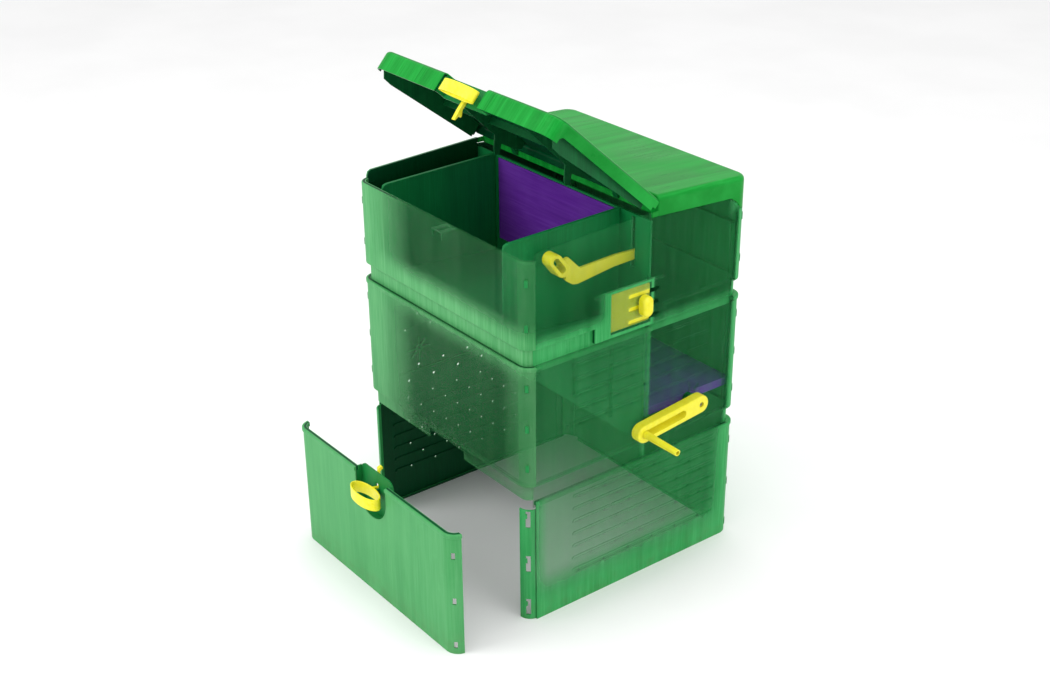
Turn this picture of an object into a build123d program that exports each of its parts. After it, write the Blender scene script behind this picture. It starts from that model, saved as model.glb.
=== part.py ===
from build123d import *
import math
import os

os.makedirs("parts", exist_ok=True)

# Three-chamber garden composter. Millimetres, +Z up, front (removal flap) towards -Y,
# crank side towards +X. The origin is on the ground, under the middle of the body.

# ---------------------------------------------------------------- driving dimensions
half = 374.0            # half of the body's outside width and depth
corner_r = 38.0         # outside radius of the body's vertical corners
skin = 4.5              # wall thickness
joint_y = 342.0         # where the front and rear walls end on the sides
neck_out = 362.0        # half width of the recessed neck of the middle and upper tiers
neck_in = 358.0
bead_out = 377.0        # half width over the rolled rim beads
bead_in = 362.8
low_top = 367.0         # top of the lower tier's rim bead
mid_bot, mid_top = 413.0, 758.0
up_bot, up_front = 805.0, 1042.0
neck_depth = 22.0       # how far a neck reaches down into the rim below
low_slots = (28.0, 165.0, 303.0)     # corner slots of the lower tier
mid_slots = (470.0, 585.0, 700.0)
up_slots = (865.0, 985.0)
rib_zs_low = tuple(332.0 - 39.0 * k for k in range(7))
rib_zs_mid = (720.0, 678.0, 636.0, 594.0, 552.0)
hole_pitch, hole_r = 88.0, 4.2

lid_open = 41.5         # slope of the lid as it stands open
lid_shut = -2.3         # slope of the lid when it is shut
hinge_y, hinge_z = 36.0, 1104.0
lid_w, lid_l = 378.0, 412.0

flap_pull = 237.7       # how far the removal flap stands out in front of the body
flap_grip_r = 73.0      # radius of the flap's grip recess
flap_grip_z = 318.0
flap_recess_back = -352.0   # rear face of the recess with the flap in place

axle_y, axle_z, axle_r = 196.0, 491.0, 11.0
arm_tilt, arm_len, arm_r = 6.3, 203.0, 26.0
arm_x0, arm_x1 = 386.0, 416.0
handle_x, handle_tip, handle_r = 403.0, 540.0, 10.0

hopper_l, hopper_r = -288.0, 250.0
div_y0, div_y1 = 30.0, 36.0
swing_z = 1034.0        # hinge height of the transfer flap
lever_x = 304.0
slot_zs = (862.0, 826.0, 790.0)


# ---------------------------------------------------------------- helpers
def band(z0, z1, outer, inner, zone, dy=0.0, mode=Mode.ADD):
    """A band of the square body between two heights, kept to one side's zone."""
    boxes = {
        "front": (0, -(joint_y + 0.3 + 60), 900, 120),
        "rear": (0, joint_y + 0.3 + 60, 900, 120),
        "left": (-250, 0, 500, 2 * (joint_y - 0.3)),
        "right": (250, 0, 500, 2 * (joint_y - 0.3)),
        "all": (0, 0, 900, 900),
    }
    cx, cy, w, h = boxes[zone]
    with BuildSketch(Plane(origin=(0, dy, z0))) as s:
        RectangleRounded(2 * outer, 2 * outer, max(corner_r - (half - outer), 4))
        RectangleRounded(2 * inner, 2 * inner, max(corner_r - (half - inner), 3), mode=Mode.SUBTRACT)
        with Locations((cx, cy)):
            Rectangle(w, h, mode=Mode.INTERSECT)
    extrude(s.sketch, amount=z1 - z0, mode=mode)


def on_outline(p, out, dy=0.0):
    """Whether a point lies on the body outline of the given half width."""
    r = max(corner_r - (half - out), 4)
    qx, qy = abs(p.X) - (out - r), abs(p.Y - dy) - (out - r)
    d = math.hypot(qx, qy) if qx > 0 and qy > 0 else max(qx, qy)
    return abs(d - r) < 0.02


def rim(part, z, out, dy=0.0):
    """The edges of a part at one height that follow the body outline."""
    return ShapeList(
        e for e in part.edges()
        if all(abs((e @ t).Z - z) < 0.01 and on_outline(e @ t, out, dy) for t in (0.02, 0.5, 0.98))
    )


def side_plane(side, x):
    """Upright plane facing outwards on one side, turned half a turn about Z for the left side."""
    return Plane(origin=(side * x, 0, 0), x_dir=(0, side, 0), z_dir=(side, 0, 0))


def corner_plane(sx, sy, dy=0.0, reach=0.0):
    """Upright plane through a body corner at 45 degrees, facing outwards. Local x is up."""
    k = half - corner_r + (corner_r + reach) * math.sqrt(0.5)
    c = math.sqrt(0.5)
    return Plane(origin=(sx * k, sy * k + dy, 0), x_dir=(0, 0, 1), z_dir=(sx * c, sy * c, 0))


def ribs(side, heights, l0, l1):
    with BuildSketch(side_plane(side, half - skin)) as s:
        with Locations(*[((l0 + l1) / 2, z) for z in heights]):
            SlotOverall(l1 - l0, 13)
    extrude(s.sketch, amount=-3.5)
    with BuildSketch(side_plane(side, half)) as g:
        with Locations(*[((l0 + l1) / 2, z) for z in heights]):
            SlotOverall(l1 - l0 - 6, 7)
    extrude(g.sketch, amount=-2.0, mode=Mode.SUBTRACT)


def air_holes(side, rows, lowest=-200.0, highest=246.0):
    spots = [
        (199.0 + 44 * (1 - phase) - hole_pitch * k, z)
        for z, phase in rows
        for k in range(6)
        if lowest < 199.0 + 44 * (1 - phase) - hole_pitch * k < highest
    ]
    with BuildSketch(side_plane(side, half + 5)) as s:
        with Locations(*spots):
            Circle(hole_r)
    extrude(s.sketch, amount=-30, mode=Mode.SUBTRACT)


def corner_flange(side, end, z0, z1, slots, hooked):
    """Recessed quarter-round flange of a side wall, inside the corner that the next wall wraps."""
    out, inn = half - skin - 0.5, half - skin - 4.0
    with BuildSketch(Plane.XY.offset(z0)) as s:
        RectangleRounded(2 * out, 2 * out, corner_r - (half - out))
        RectangleRounded(2 * inn, 2 * inn, corner_r - (half - inn), mode=Mode.SUBTRACT)
        with Locations((side * 354, end * 346)):
            Rectangle(36, 56, mode=Mode.INTERSECT)
    extrude(s.sketch, amount=z1 - z0)
    with BuildSketch(Plane.XY.offset(z0)) as t:
        with Locations((side * (inn + half - skin) / 2, end * (joint_y - 12.15))):
            Rectangle(half - skin - inn, 23.7)
    extrude(t.sketch, amount=z1 - z0)
    with BuildSketch(corner_plane(side, end, reach=-4)) as h:
        with Locations(*[(z + (11 if hooked else 0), 0) for z in slots]):
            if hooked:
                Rectangle(50, 13)
            else:
                Rectangle(20.4, 10.4)
        if hooked:
            with Locations(*[(z + 20, -4.4 * side * end) for z in slots]):
                Rectangle(13, 4.5, mode=Mode.SUBTRACT)
    extrude(h.sketch, amount=-14, mode=Mode.SUBTRACT)
    extrude(h.sketch, amount=6, mode=Mode.SUBTRACT)


def corner_slots(ends, slots, dy=0.0):
    for sx in (-1, 1):
        for sy in ends:
            with BuildSketch(corner_plane(sx, sy, dy, reach=4)) as h:
                with Locations(*[(z, 0) for z in slots]):
                    Rectangle(20, 10)
            extrude(h.sketch, amount=-12, mode=Mode.SUBTRACT)


def prism_x(x0, x1, pts, mode=Mode.ADD):
    """Prism along X from a side profile of (y, z) points."""
    with BuildSketch(Plane.YZ.offset(x0)) as s:
        Polygon(*pts, align=None)
    extrude(s.sketch, amount=x1 - x0, mode=mode)


def block(x0, x1, y0, y1, z0, z1, mode=Mode.ADD):
    with BuildSketch(Plane.XY.offset(z0)) as s:
        with Locations(((x0 + x1) / 2, (y0 + y1) / 2)):
            Rectangle(x1 - x0, y1 - y0)
    extrude(s.sketch, amount=z1 - z0, mode=mode)


def rod_x(x0, x1, y, z, r, mode=Mode.ADD):
    with BuildSketch(Plane.YZ.offset(x0)) as s:
        with Locations((y, z)):
            Circle(r)
    extrude(s.sketch, amount=x1 - x0, mode=mode)


def boss(side, y, z, r_out, r_in, star=True):
    """Round boss on the inside of a wall, with radial stiffening ribs."""
    with BuildSketch(side_plane(side, half - skin)) as s:
        with Locations((side * y, z)):
            Circle(r_out)
        if star:
            with Locations((side * y, z)):
                with PolarLocations(r_out + 12, 8):
                    Rectangle(30, 2.4)
    extrude(s.sketch, amount=-9)
    if r_in:
        with BuildSketch(side_plane(side, half - skin)) as t:
            with Locations((side * y, z)):
                Circle(r_in)
        extrude(t.sketch, amount=-20, mode=Mode.SUBTRACT)


def save(builder, name):
    builder.part.label = name
    export_step(builder.part, f"parts/{name}.step")


# ---------------------------------------------------------------- lower tier
for side, name in ((-1, "lower_wall_left"), (1, "lower_wall_right")):
    zone = "left" if side < 0 else "right"
    with BuildPart() as lower_wall:
        band(0, low_top - 12, half, half - skin, zone)
        band(0, 5, half, half - 16, zone)
        band(low_top - 12, low_top, bead_out, bead_in, zone)
        fillet(rim(lower_wall.part, low_top, bead_out) + rim(lower_wall.part, low_top - 12, bead_out), 2.9)
        ribs(side, rib_zs_low, -215, 300)
        air_holes(side, [(z, k % 2) for k, z in enumerate(rib_zs_low)])
        for end in (-1, 1):
            corner_flange(side, end, 0, 343, low_slots, end < 0)
    save(lower_wall, name)

with BuildPart() as lower_wall_rear:
    band(0, low_top - 12, half, half - skin, "rear")
    band(low_top - 12, low_top, bead_out, bead_in, "rear")
    fillet(rim(lower_wall_rear.part, low_top, bead_out) + rim(lower_wall_rear.part, low_top - 12, bead_out), 2.9)
    with BuildSketch(Plane.XY) as foot:
        with Locations((0, half - 10)):
            Rectangle(620, 12)
    extrude(foot.sketch, amount=5)
    corner_slots((1,), low_slots)
save(lower_wall_rear, "lower_wall_rear")

# ---------------------------------------------------------------- middle tier
def tier(zone, z_bot, z_top, bead):
    """One side of a tier with its recessed neck: neck, shelf, skin and rim bead."""
    band(z_bot - 46 - neck_depth, z_bot, neck_out, neck_in, zone)
    band(z_bot, z_bot + 4, half, neck_in, zone)
    band(z_bot + 4, z_top - (12 if bead else 0), half, half - skin, zone)
    if bead:
        band(z_top - 12, z_top, bead_out, bead_in, zone)


def tier_rims(part, z_bot, z_top, bead):
    edges = rim(part, z_bot, half)
    fillet(edges, 3)
    if bead:
        fillet(rim(part, z_top, bead_out) + rim(part, z_top - 12, bead_out), 2.9)


for side, name in ((-1, "mid_wall_left"), (1, "mid_wall_right")):
    zone = "left" if side < 0 else "right"
    with BuildPart() as mid_wall:
        tier(zone, mid_bot, mid_top, True)
        tier_rims(mid_wall.part, mid_bot, mid_top, True)
        ribs(side, rib_zs_mid, -222, 262)
        if side < 0:
            air_holes(side, [(428, 1), (391, 0), (636, 0), (594, 1), (552, 0)])
            boss(side, -201, 484, 11, 5)
            boss(side, -24, 486, 11, 5)
            boss(side, axle_y, axle_z, 22, 15)
        else:
            air_holes(side, [(636, 0), (594, 1), (552, 0)])
            boss(side, axle_y, axle_z, 22, 0)
            with BuildSketch(side_plane(side, half + 5)) as bore:
                with Locations((axle_y, axle_z)):
                    Circle(15)
            extrude(bore.sketch, amount=-40, mode=Mode.SUBTRACT)
        for end in (-1, 1):
            corner_flange(side, end, mid_bot + 4.5, mid_top - 14, mid_slots, False)
    save(mid_wall, name)

for end, name in ((-1, "mid_wall_front"), (1, "mid_wall_rear")):
    zone = "front" if end < 0 else "rear"
    with BuildPart() as mid_wall_end:
        tier(zone, mid_bot, mid_top, True)
        tier_rims(mid_wall_end.part, mid_bot, mid_top, True)
        corner_slots((end,), mid_slots)
        if end < 0:
            # The neck stops above the removal flap, with a notch that its grip recess passes through.
            block(-400, 400, -400, -300, mid_bot - 80, low_top + 2.5, mode=Mode.SUBTRACT)
            block(-80.5, 80.5, -370, -350, mid_bot - 80, 393.5, mode=Mode.SUBTRACT)
    save(mid_wall_end, name)

# ---------------------------------------------------------------- upper tier
def side_top(offset):
    """Top edge of a side wall, from the front to the rear, as (y, z) points."""
    y0 = joint_y - 0.3
    return [
        (-y0, 1046 - offset), (-y0 + 4, 1057 - offset), (-y0 + 13, 1062 - offset),
        (div_y0 - 1, 1078 - offset), (div_y0 - 1, 1060 - offset),
        (309, 1046 - offset), (332, 1029 - offset), (y0, 1013.5 - offset),
    ]


for side, name in ((-1, "upper_wall_left"), (1, "upper_wall_right")):
    zone = "left" if side < 0 else "right"
    y0 = joint_y - 0.3
    with BuildPart() as upper_wall:
        band(up_bot - 46 - neck_depth, up_bot, neck_out, neck_in, zone)
        band(up_bot, up_bot + 4, half, neck_in, zone)
        fillet(rim(upper_wall.part, up_bot, half), 3)
        x0, x1 = (half - skin, half) if side > 0 else (-half, -half + skin)
        prism_x(x0, x1, [(-y0, up_bot + 4)] + side_top(0) + [(y0, up_bot + 4)])
        # Thickened lip along the top edge, on the inside.
        x2, x3 = (half - skin - 3, half - skin) if side > 0 else (-half + skin, -half + skin + 3)
        lip = side_top(0)[:4]
        prism_x(x2, x3, lip + [(p[0], p[1] - 12) for p in reversed(lip)])
        if side > 0:
            with BuildSketch(side_plane(1, half + 5)) as vents:
                with Locations(*[(12.0, z) for z in slot_zs]):
                    SlotOverall(106, 13)
            # Housing that carries the vent panel down over the recessed neck.
            block(half - skin, half, -152, 92, 765, up_bot + 5)
            block(neck_in, half - skin, -152, -148, 765, up_bot + 4)
            block(neck_in, half - skin, 88, 92, 765, up_bot + 4)
            block(neck_in, half - skin, -152, 92, 765, 768)
            block(neck_in - 2, half - skin, -148, 88, 768, up_bot + 6, mode=Mode.SUBTRACT)
            extrude(vents.sketch, amount=-20, mode=Mode.SUBTRACT)
        for end in (-1, 1):
            corner_flange(side, end, up_bot + 4.5, up_front - 14 if end < 0 else 1000, up_slots, False)
    save(upper_wall, name)

with BuildPart() as upper_wall_front:
    tier("front", up_bot, up_front - 10, False)
    fillet(rim(upper_wall_front.part, up_bot, half), 3)
    band(up_front - 10, up_front, half, half - 12, "front")
    fillet(rim(upper_wall_front.part, up_front, half), 3)
    corner_slots((-1,), up_slots)
save(upper_wall_front, "upper_wall_front")

with BuildPart() as upper_wall_rear:
    tier("rear", up_bot, 1011.5, False)
    fillet(rim(upper_wall_rear.part, up_bot, half), 3)
    # Stiffening ledge and upright on the inside.
    block(-330, 330, half - skin - 12, half - skin, 952, 957)
    block(-2.5, 2.5, half - skin - 10, half - skin, 812, 952)
    corner_slots((1,), up_slots)
save(upper_wall_rear, "upper_wall_rear")

# Wedge clips that lock the wrapped corners, one group for the front and one for the rear.
for end, name in ((-1, "corner_clips_front"), (1, "corner_clips_rear")):
    zs = mid_slots + up_slots + (low_slots if end > 0 else ())
    with BuildPart() as clips:
        for sx in (-1, 1):
            with BuildSketch(corner_plane(sx, end, reach=1.6)) as c:
                with Locations(*[(z, 0) for z in zs]):
                    Rectangle(19, 9)
            extrude(c.sketch, amount=-13)
    save(clips, name)

# ---------------------------------------------------------------- fixed roof over the rear half
def roof_solid(d, radius):
    """Roof block, drawn in by d: plan outline, sloped top and rounded edges."""
    with BuildSketch(Plane.XY.offset(990)) as s:
        RectangleRounded(2 * (half - d), 2 * (half - d), corner_r - d)
        with Locations((0, 250 + 51 + d)):
            Rectangle(900, 500, mode=Mode.INTERSECT)
    extrude(s.sketch, amount=150)
    prism_x(-400, 400, [(40, 1116.5 - d), (380, 1099 - d), (380, 1200), (40, 1200)], mode=Mode.SUBTRACT)


with BuildPart() as roof_core:
    roof_solid(skin, 10)
    top = [e for e in roof_core.part.faces().sort_by(Axis.Z)[-1].edges() if (e @ 0.5).Y > 56]
    fillet(ShapeList(top), 10)

with BuildPart() as rear_roof:
    roof_solid(0, 14)
    top = [e for e in rear_roof.part.faces().sort_by(Axis.Z)[-1].edges() if (e @ 0.5).Y > 52]
    fillet(ShapeList(top), 14)
    front = [e for e in rear_roof.part.faces().sort_by(Axis.Y)[0].edges() if (e @ 0.5).Z > 1100 and abs((e @ 0.5).X) < 100]
    fillet(ShapeList(front), 5)
    add(roof_core.part, mode=Mode.SUBTRACT)
    prism_x(-400, 400, [(45, 980), (45, 1062), (309, 1048), (332, 1031), (344, 1014), (380, 1013), (380, 980)],
            mode=Mode.SUBTRACT)
    # Front cross wall, drawn up above the divider.
    block(-360, 360, 51, 51 + skin, 1062, 1070, mode=Mode.ADD)
    # Cheeks that close the gap beside the lid's hinge line.
    for x in (-half, half - skin):
        block(x, x + skin, 31, 52, 1062, 1076)
save(rear_roof, "rear_roof")

# ---------------------------------------------------------------- chamber 1: floor, hopper and dividers
with BuildPart() as chamber_floor:
    prism_x(-357.5, 357.5, [(-357, 790), (-357, 795), (div_y0, 763), (div_y0, 758)])
    prism_x(-357.5, -353.5, [(-357, 795), (-357, 808), (div_y0, 782), (div_y0, 763)])
    prism_x(353.5, 357.5, [(-357, 795), (-357, 808), (div_y0, 782), (div_y0, 763)])
    block(-353.5, 353.5, -357, -353, 792, 808)
    for x in (-180, 0, 180):
        prism_x(x - 2, x + 2, [(-350, 778), (-350, 790), (div_y0 - 2, 758.2), (div_y0 - 2, 746)])
    with BuildSketch(Plane.XY.offset(700)) as outline:
        RectangleRounded(715, 715, 22)
    extrude(outline.sketch, amount=200, mode=Mode.INTERSECT)
save(chamber_floor, "chamber_floor")

for x, name in ((hopper_l, "hopper_left"), (hopper_r, "hopper_right")):
    with BuildPart() as hopper:
        prism_x(x - 2.5, x + 2.5, [
            (-348, 794.4), (-348, 1032), (-343, 1042), (-333, 1046), (div_y0 - 2, 1054), (div_y0 - 2, 763.4)])
        # Rolled top edge and front stiffening edge.
        prism_x(x - 4.5, x + 4.5, [(-345, 1036), (-343, 1042), (-333, 1046), (div_y0 - 2, 1054), (div_y0 - 2, 1048), (-333, 1040)])
    save(hopper, name)

with BuildPart() as upper_divider:
    block(-369, 369, div_y0, div_y1, 810, 1052)
    block(-357.5, 357.5, div_y0, div_y1, 745, 810)
    # Clearance for the vent slider beside the right wall.
    block(357.5, 372, div_y0 - 5, div_y1 + 5, 805, 897, mode=Mode.SUBTRACT)
    # Transfer opening, and the tall slot for the lever beside it.
    block(-274, 236, div_y0 - 5, div_y1 + 5, 800, 1047, mode=Mode.SUBTRACT)
    block(lever_x - 8, lever_x + 8, div_y0 - 5, div_y1 + 5, 905, 1045, mode=Mode.SUBTRACT)
    # Ears that carry the flap's hinge pins, behind the opening's top corners.
    for x in (-278, 236):
        prism_x(x, x + 4, [(div_y1, swing_z - 14), (div_y1, swing_z + 10), (div_y1 + 14, swing_z + 10), (div_y1 + 14, swing_z - 14)])
    rod_x(-279, -252, div_y1 + 7, swing_z, 3.0, mode=Mode.SUBTRACT)
    rod_x(213, 241, div_y1 + 7, swing_z, 3.0, mode=Mode.SUBTRACT)
save(upper_divider, "upper_divider")

with BuildPart() as lower_divider:
    block(-365.5, 365.5, 24, 29, 419, 736)
    block(-357, 357, 24, 29, 411, 744)
    for x in (-240, -80, 80, 240):
        block(x - 2, x + 2, 14, 24, 440, 730)
save(lower_divider, "lower_divider")

# ---------------------------------------------------------------- transfer flap and lever
flap_y = div_y1 + 7.0   # hinge axis of the transfer flap
with BuildPart() as transfer_flap:
    block(-272, 234, div_y0 + 1, div_y1 - 1, 803, 1044)
    for x in (-180, -90, 0, 90, 180):
        block(x - 2, x + 2, div_y1 - 1, div_y1 + 5, 815, 1015)
    # Hinge barrels behind the plate.
    for x0, x1 in ((-273, -250), (211, 235)):
        with BuildSketch(Plane.YZ.offset(x0)) as barrel:
            with Locations((flap_y, swing_z)):
                Circle(6.5)
            with Locations((flap_y - 4, swing_z)):
                Rectangle(8, 10)
            with Locations((flap_y, swing_z)):
                Circle(3.06, mode=Mode.SUBTRACT)
        extrude(barrel.sketch, amount=x1 - x0)
    # Side arm out to the lever.
    block(226, 234, div_y1 - 1, div_y1 + 6, 925, 955)
    block(226, lever_x - 5.5, div_y1 + 1.0, div_y1 + 6, 930, 950)
save(transfer_flap, "transfer_flap")

with BuildPart() as flap_hinge_pins:
    rod_x(-279, -252, flap_y, swing_z, 3.0)
    rod_x(213, 241, flap_y, swing_z, 3.0)
save(flap_hinge_pins, "flap_hinge_pins")

lever_pin_y, lever_pin_z = div_y1 + 3.5, 940.0
with BuildPart() as lever_pin:
    rod_x(lever_x - 5.5, lever_x + 6, lever_pin_y, lever_pin_z, 2.5)
    rod_x(lever_x + 5.0, lever_x + 7, lever_pin_y, lever_pin_z, 4.0)
save(lever_pin, "lever_pin")

with BuildPart() as transfer_lever:
    with BuildSketch(Plane.YZ.offset(lever_x - 4)) as blade:
        Polygon((lever_pin_y + 6, 932), (lever_pin_y + 6, 948), (lever_pin_y, 953), (-29, 956), (-148, 951), (-187, 990),
                (-215, 985), (-207, 946), (-193, 938), (-196, 931), (-190, 925), (-172, 913), (-157, 910), (-41, 925), (lever_pin_y, 928),
                align=None)
        with Locations((lever_pin_y, lever_pin_z)):
            Circle(2.56, mode=Mode.SUBTRACT)
    extrude(blade.sketch, amount=8)
    with BuildSketch(Plane.YZ.offset(lever_x - 19)) as loop:
        with Locations(Location((-224, 980, 0), (0, 0, 128))):
            SlotOverall(74, 38)
    extrude(loop.sketch, amount=38)
    fillet(transfer_lever.edges().filter_by(lambda e: abs(e.center().X - lever_x) > 18.5), 3)
    with BuildSketch(Plane.YZ.offset(lever_x - 30)) as eye:
        with Locations(Location((-226, 982, 0), (0, 0, 128))):
            SlotOverall(52, 18)
    extrude(eye.sketch, amount=60, mode=Mode.SUBTRACT)
save(transfer_lever, "transfer_lever")

# ---------------------------------------------------------------- air vent slider
with BuildPart() as vent_plate:
    block(half - skin - 4.5, half - skin - 1.0, -98, 34, 778, 884)
    with BuildSketch(side_plane(1, half - skin - 1.0)) as panel:
        with Locations((-32, 831)):
            RectangleRounded(132, 106, 6)
    extrude(panel.sketch, amount=-10, mode=Mode.INTERSECT)
    # Neck through the middle slot.
    block(half - skin - 2.0, half + 1.0, 2, 14, slot_zs[1] - 5, slot_zs[1] + 5)
save(vent_plate, "vent_plate")

with BuildPart() as vent_knob:
    with BuildSketch(side_plane(1, half + 1.0)) as knob:
        with Locations(Location((8, 830, 0), (0, 0, 90))):
            SlotOverall(58, 34)
    extrude(knob.sketch, amount=25)
    fillet(vent_knob.faces().sort_by(Axis.X)[-1].edges(), 9)
    fillet(vent_knob.faces().sort_by(Axis.X)[0].edges(), 2)
save(vent_knob, "vent_knob")

with BuildPart() as vent_guides:
    for z0, z1, z2, z3 in ((885, 890, 880, 885), (771, 776.5, 776.5, 781.5)):
        block(half - skin - 8.5, half - skin, -145, 86, z0, z1)
        block(half - skin - 8.5, half - skin - 5.2, -145, 86, z2, z3)
save(vent_guides, "vent_guides")

# ---------------------------------------------------------------- discharge tray, axle and crank
tray_half = 160.0
with BuildPart() as discharge_tray:
    block(-352, 352, axle_y - tray_half, axle_y + tray_half, 499, 503)
    for y0, y1 in ((axle_y - tray_half, axle_y - tray_half + 4), (axle_y + tray_half - 4, axle_y + tray_half)):
        block(-352, 352, y0, y1, 482, 499)
    for x0, x1 in ((-352, -348), (348, 352)):
        block(x0, x1, axle_y - tray_half + 4, axle_y + tray_half - 4, 479, 499)
    for x in (-232, -116, 0, 116, 232):
        block(x - 2.5, x + 2.5, axle_y - tray_half + 4, axle_y + tray_half - 4, 482, 499)
    block(-348, 348, axle_y - 15, axle_y + 15, 477, 499)
    rod_x(-360, 360, axle_y, axle_z, axle_r, mode=Mode.SUBTRACT)
save(discharge_tray, "discharge_tray")

with BuildPart() as tray_axle:
    rod_x(-367, arm_x0 + 12, axle_y, axle_z, axle_r)
save(tray_axle, "tray_axle")

with BuildPart() as axle_bushes:
    rod_x(-half + skin, -half + skin + 13, axle_y, axle_z, 15)
    rod_x(356, arm_x0 - 1, axle_y, axle_z, 15)
    rod_x(half + 0.2, arm_x0 - 1, axle_y, axle_z, 19)
    rod_x(-372, arm_x0 + 2, axle_y, axle_z, axle_r + 0.06, mode=Mode.SUBTRACT)
save(axle_bushes, "axle_bushes")

tilt = math.radians(arm_tilt)
far_y = axle_y - arm_len * math.cos(tilt)
far_z = axle_z - arm_len * math.sin(tilt)
arm_plane = Plane(origin=(arm_x0, far_y, far_z), x_dir=(0, math.cos(tilt), math.sin(tilt)), z_dir=(1, 0, 0))
with BuildPart() as crank_arm:
    with BuildSketch(arm_plane) as arm:
        with Locations((arm_len / 2, 0)):
            SlotOverall(arm_len + 2 * arm_r, 2 * arm_r)
    extrude(arm.sketch, amount=arm_x1 - arm_x0)
    fillet(crank_arm.faces().sort_by(Axis.X)[-1].edges(), 5)
    fillet(crank_arm.faces().sort_by(Axis.X)[0].edges(), 3)
    # Recess that takes the folded handle, and its clearance at the pivot.
    with BuildSketch(arm_plane.offset(4)) as recess:
        with Locations((146 / 2 - 6, 0)):
            SlotOverall(146 + 12, 24)
    extrude(recess.sketch, amount=40, mode=Mode.SUBTRACT)
    # Socket for the axle.
    with BuildSketch(arm_plane) as socket:
        with Locations((arm_len, 0)):
            Circle(axle_r)
    extrude(socket.sketch, amount=12, mode=Mode.SUBTRACT)
    with BuildSketch(arm_plane.offset(20)) as sink:
        with Locations((arm_len, 0)):
            Circle(8)
    extrude(sink.sketch, amount=12, mode=Mode.SUBTRACT)
    # Pivot holes for the handle pin, from edge to edge across the arm.
    with BuildSketch(Plane(origin=(handle_x, far_y, far_z), x_dir=(1, 0, 0),
                           z_dir=(0, -math.sin(tilt), math.cos(tilt))).offset(-arm_r + 4)) as pivot:
        Circle(3)
    extrude(pivot.sketch, amount=2 * arm_r - 8, mode=Mode.SUBTRACT)
save(crank_arm, "crank_arm")

with BuildPart() as crank_screw:
    with BuildSketch(arm_plane.offset(20)) as head:
        with Locations((arm_len, 0)):
            Circle(7.5)
    extrude(head.sketch, amount=4)
    with BuildSketch(arm_plane.offset(22)) as drive:
        with Locations((arm_len, 0)):
            RegularPolygon(3, 6)
    extrude(drive.sketch, amount=4, mode=Mode.SUBTRACT)
save(crank_screw, "crank_screw")

pin_plane = Plane(origin=(handle_x, far_y, far_z), x_dir=(1, 0, 0), z_dir=(0, -math.sin(tilt), math.cos(tilt)))
with BuildPart() as handle_pin:
    with BuildSketch(pin_plane.offset(-arm_r + 4)) as pin:
        Circle(3)
    extrude(pin.sketch, amount=2 * arm_r - 8)
save(handle_pin, "handle_pin")

with BuildPart() as crank_handle:
    # Knuckle inside the arm, then the tapered hollow grip.
    with BuildSketch(pin_plane.offset(-7.5)) as knuckle:
        Circle(8)
        with Locations((8, 0)):
            Rectangle(16, 15)
    extrude(knuckle.sketch, amount=15)
    with BuildSketch(Plane(origin=(handle_x + 12, far_y, far_z), x_dir=(0, 1, 0), z_dir=(1, 0, 0))) as root_end:
        Circle(handle_r + 0.6)
    with BuildSketch(Plane(origin=(handle_tip, far_y, far_z), x_dir=(0, 1, 0), z_dir=(1, 0, 0))) as tip_end:
        Circle(handle_r - 1.0)
    loft([root_end.sketch.face(), tip_end.sketch.face()])
    fillet(crank_handle.faces().sort_by(Axis.X)[-1].edges(), 1.5)
    with BuildSketch(Plane(origin=(handle_tip, far_y, far_z), x_dir=(0, 1, 0), z_dir=(1, 0, 0))) as hollow:
        Circle(handle_r - 4)
    extrude(hollow.sketch, amount=-60, mode=Mode.SUBTRACT)
    with BuildSketch(pin_plane.offset(-20)) as eye:
        Circle(3.06)
    extrude(eye.sketch, amount=40, mode=Mode.SUBTRACT)
save(crank_handle, "crank_handle")

# ---------------------------------------------------------------- front lid
slope = math.radians(lid_open)
lid_plane = Plane(origin=(0, hinge_y, hinge_z), x_dir=(1, 0, 0), z_dir=(0, math.sin(slope), math.cos(slope)))
lid_side = Plane(origin=(0, hinge_y, hinge_z), x_dir=(0, math.cos(slope), -math.sin(slope)), z_dir=(1, 0, 0))
lid_top_n, lid_low_n, skirt_n = 12.0, -44.0, -24.0
step_s = -382.5                     # where the side skirts step up, behind the front corners
latch_s, latch_n = -381.0, 0.0      # pivot of the lid latch, in the lid's frame


def lid_block(x0, x1, s0, s1, n0, n1, mode=Mode.ADD):
    """Box in the lid's own frame: across, along (front is negative) and up from the hinge axis."""
    with BuildSketch(lid_plane.offset(n0)) as s:
        with Locations(((x0 + x1) / 2, (s0 + s1) / 2)):
            Rectangle(x1 - x0, s1 - s0)
    extrude(s.sketch, amount=n1 - n0, mode=mode)


def lid_prism(x0, x1, pts, mode=Mode.ADD):
    with BuildSketch(lid_side.offset(x0)) as s:
        Polygon(*pts, align=None)
    extrude(s.sketch, amount=x1 - x0, mode=mode)


def lid_shell(d):
    with BuildSketch(lid_plane.offset(lid_low_n - (20 if d else 0))) as s:
        with Locations((0, (lid_top_n - lid_l) / 2)):
            Rectangle(2 * (lid_w - d), lid_l + lid_top_n - 2 * d)
    extrude(s.sketch, amount=lid_top_n - lid_low_n - d + (20 if d else 0))


def lid_faces(part, key):
    return part.faces().sort_by(Axis((0, hinge_y, hinge_z), tuple(lid_plane.z_dir)))[key]


def front_uprights(part, d):
    n = Axis((0, hinge_y, hinge_z), tuple(lid_plane.z_dir))
    fwd = lid_plane.y_dir
    out = []
    for e in part.edges().filter_by(n):
        p = e.center() - Vector(0, hinge_y, hinge_z)
        if p.dot(fwd) < -lid_l + d + 1:
            out.append(e)
    return ShapeList(out)


with BuildPart() as lid_core:
    lid_shell(skin)
    fillet(front_uprights(lid_core.part, skin), 36)
    fillet(lid_faces(lid_core.part, -1).edges(), 8)

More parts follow.
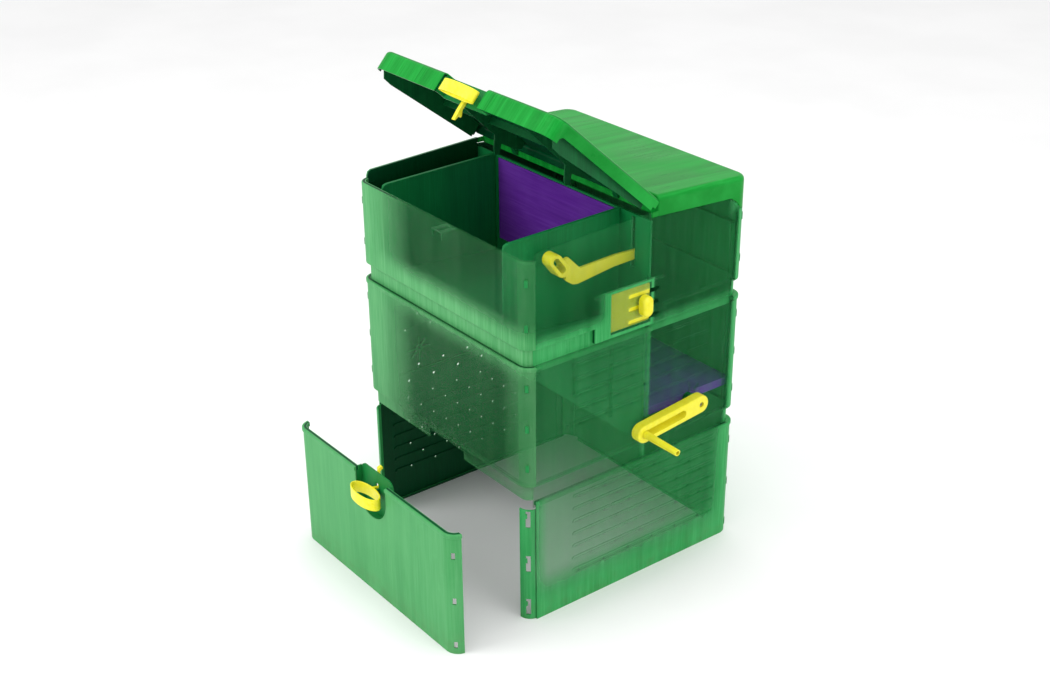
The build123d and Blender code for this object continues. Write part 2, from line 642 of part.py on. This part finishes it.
with BuildPart() as front_lid:
    lid_shell(0)
    fillet(front_uprights(front_lid.part, 0), 40)
    fillet(lid_faces(front_lid.part, -1).edges(), 11.9)
    add(lid_core.part, mode=Mode.SUBTRACT)
    # The side skirts are shallower than the front one, with a rounded step behind each corner.
    with BuildSketch(lid_side.offset(-400)) as sides:
        with Locations(((step_s + 13 + 60) / 2, skirt_n - 30)):
            Rectangle(60 - step_s - 13, 60)
        with Locations((step_s + 13, skirt_n - 13)):
            Circle(13)
        with Locations((step_s + 6.5, skirt_n - 36.5)):
            Rectangle(13, 47)
    extrude(sides.sketch, amount=800, mode=Mode.SUBTRACT)
    # The rear wall stops short, so that it swings clear of the body.
    lid_block(-400, 400, 1, 20, lid_low_n - 5, -13, mode=Mode.SUBTRACT)
    # Grip recess in the middle of the front.
    lid_block(-92, 92, -lid_l - 5, -372, lid_low_n - 5, 30, mode=Mode.SUBTRACT)
    # Slots for the hinge brackets.
    for x in (-215, 215):
        lid_block(x - 10, x + 10, -10, 20, lid_low_n - 5, 30, mode=Mode.SUBTRACT)
    # Ears with the hinge bores.
    for x0, x1 in ((-233, -226), (-204, -197), (197, 204), (226, 233)):
        lid_prism(x0, x1, [(-26, 8), (-8, 8), (7.5, 4), (7.5, -6), (0, -8), (-14, -8)])
    with BuildSketch(lid_side.offset(-240)) as bores:
        Circle(3.56)
    extrude(bores.sketch, amount=480, mode=Mode.SUBTRACT)
save(front_lid, "front_lid")

with BuildPart() as lid_recess:
    lid_block(-92, 92, -372.1 - 4, -372.1, -44, 10)
    for x0, x1 in ((-96, -92), (92, 96)):
        lid_prism(x0, x1, [(-405, -42), (-405, -2), (-399, 7.2), (-372.1, 7.2), (-372.1, -42)])
    # Lugs for the latch pin.
    for x0, x1 in ((-12, -7), (7, 12)):
        lid_block(x0, x1, -384.5, -376, -4.5, 5)
    with BuildSketch(lid_side.offset(-14)) as lug_bore:
        with Locations((latch_s, latch_n)):
            Circle(2.0)
    extrude(lug_bore.sketch, amount=28, mode=Mode.SUBTRACT)
save(lid_recess, "lid_recess")

with BuildPart() as lid_inner_frame:
    for x0, x1 in ((-361, -358), (358, 361)):
        lid_prism(x0, x1, [(-386, 7.4), (-386, -36), (-370, -56), (-340, -58), (-16, -34), (-16, 7.4)])
    for side in (-1, 1):
        lid_block(min(side * 96.2, side * 358), max(side * 96.2, side * 358), -388, -385, -38, 7.4)
        lid_block(min(side * 96.2, side * 99.2), max(side * 96.2, side * 99.2), -388, -368.6, -38, 7.4)
        lid_prism(side * 150 - 2, side * 150 + 2, [
            (-386, 7.4), (-386, -16), (-120, -26), (-96, -58), (-84, -68), (-70, -62), (-76, -50), (-84, -34),
            (-40, -24), (-14, -10), (-14, 7.4)])
    lid_block(-99.2, 99.2, -371.6, -368.6, -38, 7.4)
    for s in (-280, -160):
        lid_block(-358, 358, s - 1.5, s + 1.5, -12, 7.4)
save(lid_inner_frame, "lid_inner_frame")

with BuildPart() as lid_hinge_pins:
    for x in (-215, 215):
        with BuildSketch(lid_side.offset(x - 18)) as pin:
            Circle(3.5)
        extrude(pin.sketch, amount=36)
save(lid_hinge_pins, "lid_hinge_pins")

with BuildPart() as lid_hinge_brackets:
    for x in (-215, 215):
        with BuildSketch(Plane.YZ.offset(x - 8)) as bracket:
            with Locations((hinge_y, hinge_z)):
                Circle(6.5)
            Polygon((hinge_y, hinge_z + 5), (51, hinge_z - 8), (51, hinge_z - 38), (hinge_y + 9, hinge_z - 38), (hinge_y - 5, hinge_z - 4), align=None)
        extrude(bracket.sketch, amount=16)
    rod_x(-240, 240, hinge_y, hinge_z, 3.5, mode=Mode.SUBTRACT)
save(lid_hinge_brackets, "lid_hinge_brackets")

# Latch of the lid: bowed grip with a barbed hook, on a cross pin.
with BuildPart() as lid_grip:
    with BuildSketch(lid_plane.offset(-38)) as ring:
        with Locations((0, -414)):
            Ellipse(71, 21)
            Ellipse(66.5, 17, mode=Mode.SUBTRACT)
    extrude(ring.sketch, amount=32)
    fillet(lid_grip.edges().filter_by(GeomType.ELLIPSE), 1.2)
    # Ear on the latch pin.
    lid_prism(-6, 6, [(-396.9, -24), (-396.9, -10), (-386, 1.5), (-382.5, 3.5), (-379.5, 3.5), (-378.2, 1.5), (-377.6, -38), (-385.5, -38), (-387, -24)])
    with BuildSketch(lid_side.offset(-8)) as ear_bore:
        with Locations((latch_s, latch_n)):
            Circle(2.06)
    extrude(ear_bore.sketch, amount=16, mode=Mode.SUBTRACT)
save(lid_grip, "lid_grip")

with BuildPart() as lid_hook:
    with BuildSketch(lid_side.offset(-6)) as hook:
        Polygon((-385.5, -38), (-377, -38), (-377, -56), (-369, -69), (-370.5, -73), (-377, -69), (-380, -86), (-383.5, -88), (-386, -58), align=None)
    extrude(hook.sketch, amount=12)
save(lid_hook, "lid_hook")

with BuildPart() as lid_latch_pin:
    with BuildSketch(lid_side.offset(-14)) as pin:
        with Locations((latch_s, latch_n)):
            Circle(2.0)
    extrude(pin.sketch, amount=28)
save(lid_latch_pin, "lid_latch_pin")

with BuildPart() as lid_keeper:
    block(-24, 24, -(half - skin), -322, 1008, 1012)
    block(-9, 9, -365, -327, 1000, 1020, mode=Mode.SUBTRACT)
    for x in (-22, 18):
        prism_x(x, x + 4, [(-(half - skin), 990), (-(half - skin), 1008), (-345, 1008)])
save(lid_keeper, "lid_keeper")

# ---------------------------------------------------------------- removal flap (bottom door)
dy = -flap_pull
with BuildPart() as removal_flap:
    band(0, low_top - 12, half, half - skin, "front", dy)
    band(low_top - 12, low_top, bead_out, bead_in, "front", dy)
    fillet(rim(removal_flap.part, low_top, bead_out, dy) + rim(removal_flap.part, low_top - 12, bead_out, dy), 2.9)
    with BuildSketch(Plane.XZ.offset(half - dy + 10)) as notch:
        with Locations((0, flap_grip_z)):
            Circle(flap_grip_r)
        with Locations((0, flap_grip_z + 50)):
            Rectangle(2 * flap_grip_r, 100)
    extrude(notch.sketch, amount=-40, mode=Mode.SUBTRACT)
    corner_slots((-1,), low_slots, dy)
save(removal_flap, "removal_flap")

recess_back = flap_recess_back + dy
with BuildPart() as flap_recess:
    with BuildSketch(Plane.XZ.offset(half - dy - 0.6)) as pocket:
        with Locations((0, flap_grip_z)):
            Circle(flap_grip_r + 3.2)
        with Locations((0, (flap_grip_z + low_top) / 2)):
            Rectangle(2 * flap_grip_r + 6.4, low_top - flap_grip_z)
        with Locations((0, flap_grip_z)):
            Circle(flap_grip_r, mode=Mode.SUBTRACT)
        with Locations((0, flap_grip_z + 50)):
            Rectangle(2 * flap_grip_r, 100, mode=Mode.SUBTRACT)
    extrude(pocket.sketch, amount=-(half - 0.6 + flap_recess_back))
    with BuildSketch(Plane.XZ.offset(-recess_back)) as back:
        with Locations((0, flap_grip_z)):
            Circle(flap_grip_r + 3.2)
        with Locations((0, flap_grip_z - 60)):
            Rectangle(300, 130, mode=Mode.INTERSECT)
        with Locations((0, flap_grip_z + 20)):
            RectangleRounded(2 * flap_grip_r + 6.4, 76, 22)
        with Locations((0, 322)):
            Rectangle(14, 40, mode=Mode.SUBTRACT)
    extrude(back.sketch, amount=-4)
    add(removal_flap.part, mode=Mode.SUBTRACT)
    # Lugs for the latch pin.
    for x0, x1 in ((-12, -8), (8, 12)):
        block(x0, x1, recess_back - 10, recess_back, 314, 330)
    rod_x(-20, 20, recess_back - 5, 322, 2.5, mode=Mode.SUBTRACT)
save(flap_recess, "flap_recess")

with BuildPart() as flap_latch_pin:
    rod_x(-12, 12, recess_back - 5, 322, 2.5)
save(flap_latch_pin, "flap_latch_pin")

grip_y = -390.0 + dy
with BuildPart() as flap_handle:
    with BuildSketch(Plane.XY.offset(300)) as ring:
        with Locations((0, grip_y)):
            Ellipse(62, 26)
            Ellipse(57.5, 21.8, mode=Mode.SUBTRACT)
    extrude(ring.sketch, amount=34)
    fillet(flap_handle.edges().filter_by(GeomType.ELLIPSE), 1.4)
save(flap_handle, "flap_handle")

with BuildPart() as flap_hook:
    with BuildSketch(Plane.YZ.offset(-5)) as hook:
        y1 = grip_y + 26.05
        Polygon((y1, 306), (recess_back - 5, 314), (recess_back + 7, 316), (recess_back + 10, 322), (recess_back + 9, 378),
                (recess_back + 18, 384), (recess_back + 16, 391), (recess_back + 5.5, 388), (recess_back + 5.5, 330), (y1, 334), align=None)
        with Locations((recess_back - 5, 322)):
            Circle(2.56, mode=Mode.SUBTRACT)
    extrude(hook.sketch, amount=10)
save(flap_hook, "flap_hook")
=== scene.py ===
import math
import bpy
import bmesh
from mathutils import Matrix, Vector

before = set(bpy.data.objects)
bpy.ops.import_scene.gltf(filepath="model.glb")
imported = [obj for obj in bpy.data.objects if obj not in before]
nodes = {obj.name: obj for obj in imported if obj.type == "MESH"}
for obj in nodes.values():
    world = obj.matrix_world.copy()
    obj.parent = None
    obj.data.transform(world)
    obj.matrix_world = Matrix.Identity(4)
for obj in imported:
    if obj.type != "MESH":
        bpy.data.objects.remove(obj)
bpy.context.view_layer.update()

scene = bpy.context.scene


# ---------------------------------------------------------------- node helpers
def srgb(r, g, b):
    def lin(c):
        c /= 255.0
        return c / 12.92 if c <= 0.04045 else ((c + 0.055) / 1.055) ** 2.4
    return (lin(r), lin(g), lin(b), 1.0)


class Graph:
    """A small wrapper that keeps the material code short."""

    def __init__(self, name):
        self.mat = bpy.data.materials.new(name)
        self.mat.use_nodes = True
        self.tree = self.mat.node_tree
        self.tree.nodes.clear()
        self.out = self.tree.nodes.new("ShaderNodeOutputMaterial")
        self.bsdf = self.tree.nodes.new("ShaderNodeBsdfPrincipled")
        self.tree.links.new(self.bsdf.outputs[0], self.out.inputs[0])
        self.coord = self.tree.nodes.new("ShaderNodeTexCoord").outputs["Object"]
        split = self.tree.nodes.new("ShaderNodeSeparateXYZ")
        self.link(self.coord, split.inputs[0])
        self.axis = {"x": split.outputs[0], "y": split.outputs[1], "z": split.outputs[2]}

    def link(self, a, b):
        self.tree.links.new(a, b)

    def math(self, op, a, b=None, clamp=False):
        n = self.tree.nodes.new("ShaderNodeMath")
        n.operation = op
        n.use_clamp = clamp
        for i, v in enumerate((a, b)):
            if v is None:
                continue
            if isinstance(v, (int, float)):
                n.inputs[i].default_value = v
            else:
                self.link(v, n.inputs[i])
        return n.outputs[0]

    def noise(self, scale, detail=4.0, rough=0.55, stretch=(1, 1, 1), offset=0.0, warp=0.0, turn=(0, 0, 0)):
        m = self.tree.nodes.new("ShaderNodeMapping")
        m.inputs["Scale"].default_value = stretch
        m.inputs["Location"].default_value = (offset, offset * 1.7, offset * 0.6)
        m.inputs["Rotation"].default_value = turn
        self.link(self.coord, m.inputs[0])
        n = self.tree.nodes.new("ShaderNodeTexNoise")
        n.inputs["Scale"].default_value = scale
        n.inputs["Detail"].default_value = detail
        n.inputs["Roughness"].default_value = rough
        n.inputs["Distortion"].default_value = warp
        self.link(m.outputs[0], n.inputs["Vector"])
        return n.outputs[0]

    def remap(self, v, a, b, c=0.0, d=1.0, smooth=True):
        n = self.tree.nodes.new("ShaderNodeMapRange")
        n.interpolation_type = "SMOOTHSTEP" if smooth else "LINEAR"
        n.clamp = True
        self.link(v, n.inputs[0])
        for i, x in zip((1, 2, 3, 4), (a, b, c, d)):
            n.inputs[i].default_value = x
        return n.outputs[0]

    def mix(self, f, a, b, blend="MIX"):
        n = self.tree.nodes.new("ShaderNodeMix")
        n.data_type = "RGBA"
        n.blend_type = blend
        if isinstance(f, (int, float)):
            n.inputs["Factor"].default_value = f
        else:
            self.link(f, n.inputs["Factor"])
        for v, s in ((a, n.inputs[6]), (b, n.inputs[7])):
            if isinstance(v, tuple):
                s.default_value = v
            else:
                self.link(v, s)
        return n.outputs[2]

    def window(self, u, u0, u1, v, v0, v1, fu, fv):
        """Soft rectangular window in two object coordinates: 1 inside, 0 outside."""
        w = self.math("MULTIPLY", self.remap(self.axis[u], u0, u0 + fu), self.remap(self.axis[u], u1 - fu, u1, 1.0, 0.0))
        h = self.math("MULTIPLY", self.remap(self.axis[v], v0, v0 + fv), self.remap(self.axis[v], v1 - fv, v1, 1.0, 0.0))
        return self.math("MULTIPLY", w, h)


STREAK = {"z": (1.0, 1.0, 0.035), "y": (1.0, 0.04, 1.0), "x": (0.04, 1.0, 1.0), "n": (1.0, 1.0, 1.0), "yz": (1.0, 0.045, 0.045)}


def plastic(name, base, light, dark, grain="z", amount=0.55, rough=0.42, bump=0.25, windows=(), see=0.22,
            dirt=0.0, seed=0.0, fine=210.0, spec=0.16, turn=(0, 0, 0), inside=None, shell=None):
    g = Graph(name)
    st = STREAK[grain]
    streak = g.noise(fine, 5.0, 0.62, st, 3.1 + seed, 0.15, turn)
    wide = g.noise(38.0, 3.0, 0.5, st, 7.7 + seed, 0.3, turn)
    cloud = g.noise(4.2, 3.0, 0.55, (1, 1, 1), 1.3 + seed, 0.6)
    speck = g.noise(620.0, 2.0, 0.5, (1, 1, 1), seed)
    f1 = g.remap(streak, 0.42, 0.64, 0.0, amount, False)
    colour = g.mix(f1, base, light)
    f2 = g.remap(wide, 0.36, 0.58, amount * 0.8, 0.0, False)
    colour = g.mix(f2, colour, dark)
    f3 = g.remap(cloud, 0.32, 0.70, 0.0, 0.30)
    colour = g.mix(f3, colour, light)
    # Rubbed patches and fine scratches.
    rub = g.math("MULTIPLY", g.remap(g.noise(9.0, 6.0, 0.7, (1, 1, 1), 11 + seed), 0.60, 0.76), g.remap(speck, 0.42, 0.60))
    colour = g.mix(g.math("MULTIPLY", rub, 0.28), colour, tuple(min(1.0, c * 1.6 + 0.03) for c in light[:3]) + (1.0,))
    if dirt:
        low = g.remap(g.axis["z"], 0.0, 0.09, 1.0, 0.0)
        low = g.math("MULTIPLY", low, g.remap(g.noise(26.0, 5.0, 0.65, (1, 1, 1), 4 + seed), 0.35, 0.7))
        colour = g.mix(g.math("MULTIPLY", low, dirt), colour, srgb(92, 88, 52))
    if inside:
        # Painted shade: the inner faces of the walls, door and lid get a darker green than the outside, without its
        # rubbed patches.
        outer = shell(g)
        hollow_shade = g.mix(g.remap(streak, 0.35, 0.7, 0.0, 0.5, False), inside, tuple(min(1.0, c * 1.7) for c in inside[:3]) + (1.0,))
        colour = g.mix(outer, hollow_shade, colour)
    g.link(colour, g.bsdf.inputs["Base Color"])
    r = g.remap(cloud, 0.3, 0.7, rough - 0.07, rough + 0.08, False)
    r = g.math("ADD", r, g.remap(streak, 0.3, 0.7, -0.05, 0.06, False))
    r = g.math("ADD", r, g.math("MULTIPLY", rub, 0.18), True)
    g.link(r, g.bsdf.inputs["Roughness"])
    g.bsdf.inputs["Specular IOR Level"].default_value = spec
    h = g.math("ADD", g.math("MULTIPLY", streak, 0.7), g.math("MULTIPLY", speck, 0.35))
    b = g.tree.nodes.new("ShaderNodeBump")
    b.inputs["Strength"].default_value = bump
    b.inputs["Distance"].default_value = 0.0009
    g.link(h, b.inputs["Height"])
    g.link(b.outputs[0], g.bsdf.inputs["Normal"])
    if windows:
        w = None
        for spec_ in windows:
            one = g.window(*spec_[:8])
            if len(spec_) > 8:
                one = g.math("MULTIPLY", one, spec_[8])
            w = one if w is None else g.math("MAXIMUM", w, one)
        # A little unevenness, so that the cleared area doesn't look cut out.
        w = g.math("MULTIPLY", w, g.remap(wide, 0.2, 0.7, 1.0, 0.93, False), True)
        a = g.math("SUBTRACT", 1.0, g.math("MULTIPLY", w, 1.0 - see), True)
        g.link(a, g.bsdf.inputs["Alpha"])
        g.mat.blend_method = "HASHED" if hasattr(g.mat, "blend_method") else None
    return g.mat


def metal(name):
    g = Graph(name)
    n = g.noise(160.0, 4.0, 0.6, (0.05, 1, 1), 2.0)
    c = g.mix(g.remap(n, 0.3, 0.7), srgb(122, 124, 126), srgb(176, 178, 180))
    g.link(c, g.bsdf.inputs["Base Color"])
    g.bsdf.inputs["Metallic"].default_value = 0.9
    g.link(g.remap(n, 0.2, 0.8, 0.28, 0.46, False), g.bsdf.inputs["Roughness"])
    b = g.tree.nodes.new("ShaderNodeBump")
    b.inputs["Strength"].default_value = 0.2
    b.inputs["Distance"].default_value = 0.0004
    g.link(n, b.inputs["Height"])
    g.link(b.outputs[0], g.bsdf.inputs["Normal"])
    return g.mat


# ---------------------------------------------------------------- which faces are outer ones
def body_shell(dy=0.0, flanged=False):
    """1 on the outer faces of the square body's walls and necks, 0 on their inner faces."""
    def build(g):
        ay = g.math("ABSOLUTE", g.math("ADD", g.axis["y"], dy))
        qx = g.math("MAXIMUM", g.math("SUBTRACT", g.math("ABSOLUTE", g.axis["x"]), 0.336), 0.0)
        qy = g.math("MAXIMUM", g.math("SUBTRACT", ay, 0.336), 0.0)
        r = g.math("ADD", g.math("SQRT", g.math("ADD", g.math("MULTIPLY", qx, qx), g.math("MULTIPLY", qy, qy))), 0.336)
        skin_face = g.remap(r, 0.3703, 0.3713)
        neck_face = g.math("MULTIPLY", g.remap(r, 0.3602, 0.3610), g.remap(r, 0.3636, 0.3648, 1.0, 0.0))
        faces = g.math("MAXIMUM", skin_face, neck_face)
        if flanged:
            faces = g.math("MAXIMUM", faces, g.remap(ay, 0.3416, 0.3422))
        return faces
    return build


def lid_shell(g):
    c, s = math.cos(math.radians(41.5)), math.sin(math.radians(41.5))
    y = g.math("SUBTRACT", g.axis["y"], 0.036)
    z = g.math("SUBTRACT", g.axis["z"], 1.104)
    up = g.math("ADD", g.math("MULTIPLY", y, s), g.math("MULTIPLY", z, c))
    along = g.math("SUBTRACT", g.math("MULTIPLY", y, c), g.math("MULTIPLY", z, s))
    qx = g.math("MAXIMUM", g.math("SUBTRACT", g.math("ABSOLUTE", g.axis["x"]), 0.338), 0.0)
    qs = g.math("MAXIMUM", g.math("SUBTRACT", -0.372, along), 0.0)
    r = g.math("SQRT", g.math("ADD", g.math("MULTIPLY", qx, qx), g.math("MULTIPLY", qs, qs)))
    return g.math("MAXIMUM", g.remap(up, 0.0080, 0.0092), g.remap(r, 0.0368, 0.0380))


# ---------------------------------------------------------------- materials
# Painted light and shade: one green plastic in three tones by facing. The front walls are painted lighter, the side
# walls darker, and the roof and lid darkest.
GREEN_PAINTED_LIT_FACE = (srgb(64, 150, 84), srgb(108, 178, 120), srgb(38, 130, 66))
GREEN_PAINTED_SHADED_FLANK = (srgb(36, 150, 74), srgb(78, 176, 106), srgb(18, 124, 56))
GREEN_PAINTED_SHADED_TOP = (srgb(8, 136, 42), srgb(30, 158, 60), srgb(2, 112, 32))
# Painted shade for the lid's inner frame, hinge brackets and keeper below the lid.
GREEN_PAINTED_SHADE_BELOW_LID = (srgb(2, 84, 40), srgb(14, 112, 56), srgb(0, 60, 30))
# Painted shade for the chamber floor, hoppers and upper divider inside the body.
GREEN_PAINTED_INTERIOR_SHADE = (srgb(8, 114, 56), srgb(24, 138, 74), srgb(2, 88, 44))
# Painted shade for the inner faces of the walls, door and lid.
GREEN_PAINTED_HOLLOW_SHADE = srgb(0, 66, 34)
YELLOW = (srgb(234, 226, 24), srgb(244, 238, 92), srgb(206, 194, 6))
PURPLE = (srgb(92, 34, 148), srgb(120, 66, 176), srgb(66, 18, 112))
BODY = {"inside": GREEN_PAINTED_HOLLOW_SHADE, "shell": body_shell()}
SIDES = {"inside": GREEN_PAINTED_HOLLOW_SHADE, "shell": body_shell(0.0, True)}

mats = {
    "front_upper": plastic("green_front_upper", *GREEN_PAINTED_LIT_FACE, seed=0.2, windows=[("x", -0.31, 0.50, "z", 0.82, 1.20, 0.20, 0.07)], see=0.10, **BODY),
    "front_mid": plastic("green_front_mid", *GREEN_PAINTED_LIT_FACE, seed=1.4, windows=[("x", -0.33, 0.50, "z", 0.30, 0.80, 0.24, 0.10)], see=0.15, **BODY),
    # The door gets the front walls' painted lighter tone.
    "door": plastic("green_door", srgb(66, 152, 86), srgb(98, 172, 112), srgb(46, 134, 70), seed=2.2, amount=0.4, dirt=0.2, bump=0.15,
                    inside=GREEN_PAINTED_HOLLOW_SHADE, shell=body_shell(0.2377)),
    "side_upper": plastic("green_side_upper", *GREEN_PAINTED_SHADED_FLANK, grain="z", seed=3.0, windows=[
        ("y", -0.50, -0.100, "z", 0.80, 1.20, 0.05, 0.05), ("y", -0.26, 0.345, "z", 0.889, 1.20, 0.05, 0.012),
        ("y", -0.102, 0.038, "z", 0.772, 0.889, 0.004, 0.004, 0.84), ("y", 0.039, 0.345, "z", 0.74, 1.045, 0.012, 0.05)], see=0.08, **SIDES),
    "side_mid": plastic("green_side_mid", *GREEN_PAINTED_SHADED_FLANK, grain="z", seed=3.9, windows=[
        ("y", -0.50, 0.06, "z", 0.30, 0.85, 0.05, 0.05, 0.86), ("y", 0.025, 0.345, "z", 0.30, 0.85, 0.02, 0.05)], see=0.10, **SIDES),
    "side_low": plastic("green_side_low", *GREEN_PAINTED_SHADED_FLANK, grain="z", seed=4.4, windows=[("y", -0.372, 0.345, "z", 0.02, 0.70, 0.075, 0.13)], see=0.30, dirt=0.2, **SIDES),
    "divider": plastic("green_divider", srgb(40, 140, 78), srgb(66, 160, 98), srgb(24, 116, 60), grain="z", seed=8.2, amount=0.4, rough=0.5),
    "wall": plastic("green_wall", *GREEN_PAINTED_SHADED_FLANK, grain="z", seed=5.1, dirt=0.2, **SIDES),
    "roof": plastic("green_roof", *GREEN_PAINTED_SHADED_TOP, grain="yz", seed=6.0, amount=0.85, rough=0.34, spec=0.1),
    "lid": plastic("green_lid", *GREEN_PAINTED_SHADED_TOP, grain="yz", seed=7.0, amount=0.85, rough=0.34, spec=0.1, turn=(math.radians(41.5), 0, 0),
                   inside=GREEN_PAINTED_HOLLOW_SHADE, shell=lid_shell),
    # Painted shade: darker green for the lid and flap recesses.
    "recess": plastic("green_recess_painted_shade", srgb(14, 116, 52), srgb(38, 140, 72), srgb(4, 90, 38), seed=7.4, amount=0.4),
    # Painted shade: darker green for the parts below the lid.
    "dark": plastic("green_inner", *GREEN_PAINTED_SHADE_BELOW_LID, grain="z", seed=8.0, amount=0.45, rough=0.5),
    # Painted shade: darker green for the parts inside the body.
    "inner": plastic("green_interior_painted_shade", *GREEN_PAINTED_INTERIOR_SHADE, grain="z", seed=8.6, amount=0.4, rough=0.5),
    "clips": plastic("green_clips", srgb(22, 126, 60), srgb(48, 148, 84), srgb(8, 100, 44), grain="n", seed=9.0, amount=0.3, rough=0.45),
    "yellow": plastic("yellow_grip", *YELLOW, grain="n", seed=10.0, amount=0.35, rough=0.33, bump=0.12, fine=90.0, spec=0.3),
    "purple": plastic("purple_panel", *PURPLE, grain="x", seed=12.0, amount=0.4, rough=0.4),
    "pin": metal("pin_metal"),
}

wear = {
    "front_lid": "lid", "lid_recess": "recess", "lid_inner_frame": "dark", "rear_roof": "roof",
    "upper_wall_front": "front_upper", "mid_wall_front": "front_mid", "removal_flap": "door", "flap_recess": "recess",
    "upper_wall_right": "side_upper", "mid_wall_right": "side_mid", "lower_wall_right": "side_low",
    "upper_wall_left": "wall", "mid_wall_left": "wall", "lower_wall_left": "wall",
    "upper_wall_rear": "wall", "mid_wall_rear": "wall", "lower_wall_rear": "wall",
    "chamber_floor": "inner", "hopper_left": "inner", "hopper_right": "inner", "upper_divider": "inner", "lower_divider": "divider",
    "vent_guides": "side_upper", "lid_hinge_brackets": "dark", "lid_keeper": "dark", "axle_bushes": "clips",
    "corner_clips_front": "clips", "corner_clips_rear": "clips",
    "transfer_flap": "purple", "discharge_tray": "purple", "tray_axle": "purple",
    "lid_grip": "yellow", "lid_hook": "yellow", "flap_handle": "yellow", "flap_hook": "yellow", "transfer_lever": "yellow",
    "vent_knob": "yellow", "vent_plate": "yellow", "crank_arm": "yellow", "crank_handle": "yellow",
    "lid_hinge_pins": "pin", "flap_hinge_pins": "pin", "lid_latch_pin": "pin", "flap_latch_pin": "pin", "lever_pin": "pin",
    "handle_pin": "pin", "crank_screw": "pin",
}
for name, obj in nodes.items():
    mat = mats[wear[name]]
    if not obj.material_slots:
        obj.data.materials.append(mat)
    for slot in obj.material_slots:
        slot.material = mat

# ---------------------------------------------------------------- floor, light and camera
bpy.ops.mesh.primitive_plane_add(size=40, location=(0, 0, 0))
floor = bpy.context.object
floor.name = "floor"
g = Graph("floor_pale")
n = g.noise(1.5, 3.0, 0.5)
g.link(g.mix(g.remap(n, 0.3, 0.7), (0.90, 0.90, 0.90, 1), (0.93, 0.93, 0.93, 1)), g.bsdf.inputs["Base Color"])
g.bsdf.inputs["Roughness"].default_value = 0.85
floor.data.materials.append(g.mat)

world = bpy.data.worlds.new("studio")
scene.world = world
world.use_nodes = True
world.node_tree.nodes["Background"].inputs[0].default_value = (1, 1, 1, 1)
world.node_tree.nodes["Background"].inputs[1].default_value = 0.93


def area(name, loc, target, size, power):
    lamp = bpy.data.lights.new(name, "AREA")
    lamp.shape = "RECTANGLE"
    lamp.size, lamp.size_y = size
    lamp.energy = power
    o = bpy.data.objects.new(name, lamp)
    scene.collection.objects.link(o)
    o.location = loc
    o.rotation_euler = (Vector(target) - Vector(loc)).to_track_quat("-Z", "Y").to_euler()
    return o


area("key", (-1.6, -4.2, 3.6), (0, 0, 0.6), (3.0, 3.0), 118)
area("side", (4.6, 0.6, 3.0), (0, 0, 0.6), (2.6, 2.6), 42)
area("top", (0.3, 0.4, 5.0), (0, 0, 0.6), (3.0, 3.0), 60)

cam = bpy.data.cameras.new("camera")
cam.sensor_width = 36.0
cam.lens = 53.27
cam.shift_x = -0.0239
cam.shift_y = 0.0170
cam.clip_end = 100
camera = bpy.data.objects.new("camera", cam)
scene.collection.objects.link(camera)
camera.location = (3.0673, -2.4394, 2.5001)
camera.rotation_euler = (Vector((0, 0, 0.5)) - Vector(camera.location)).to_track_quat("-Z", "Y").to_euler()
scene.camera = camera
scene.view_settings.view_transform = "Standard"
